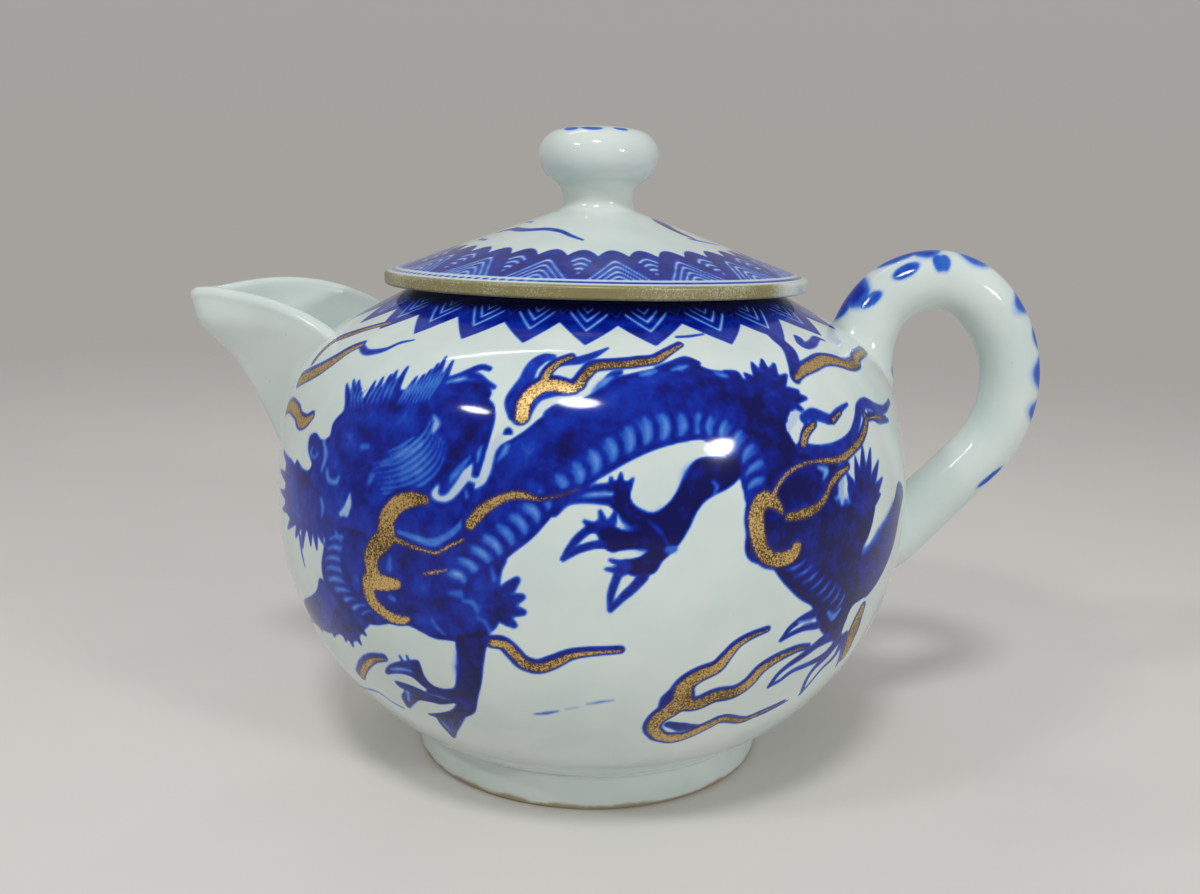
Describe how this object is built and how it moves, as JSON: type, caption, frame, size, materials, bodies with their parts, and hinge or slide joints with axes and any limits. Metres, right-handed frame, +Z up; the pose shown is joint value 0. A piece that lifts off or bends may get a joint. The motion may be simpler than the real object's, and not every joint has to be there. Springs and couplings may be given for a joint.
{
  "type": "teapot",
  "caption": "Small round porcelain teapot with an open beak spout, a loop handle and a lift-off conical lid with a knob.",
  "frame": {"origin": "on the pot's axis, in the plane that the foot ring stands on", "axes": "+Z up along the pot's axis, -X towards the spout, +X towards the handle"},
  "size_m": [0.1635, 0.12, 0.12],
  "materials": {
    "porcelain": "white porcelain under a clear glossy glaze, painted in underglaze cobalt blue and worn gilding"
  },
  "bodies": {
    "pot": {"lower_bowl": "porcelain", "upper_bowl": "porcelain", "foot_ring": "porcelain", "mouth_rim": "porcelain", "spout": "porcelain", "handle": "porcelain"},
    "lid": {"lid_cover": "porcelain", "lid_flange": "porcelain", "lid_knob": "porcelain"}
  },
  "joints": [
    {"name": "lid_lift", "type": "slide", "parent": "pot", "child": "lid", "axis": [0, 0, 1], "range_m": [0, 0.05]}
  ]
}
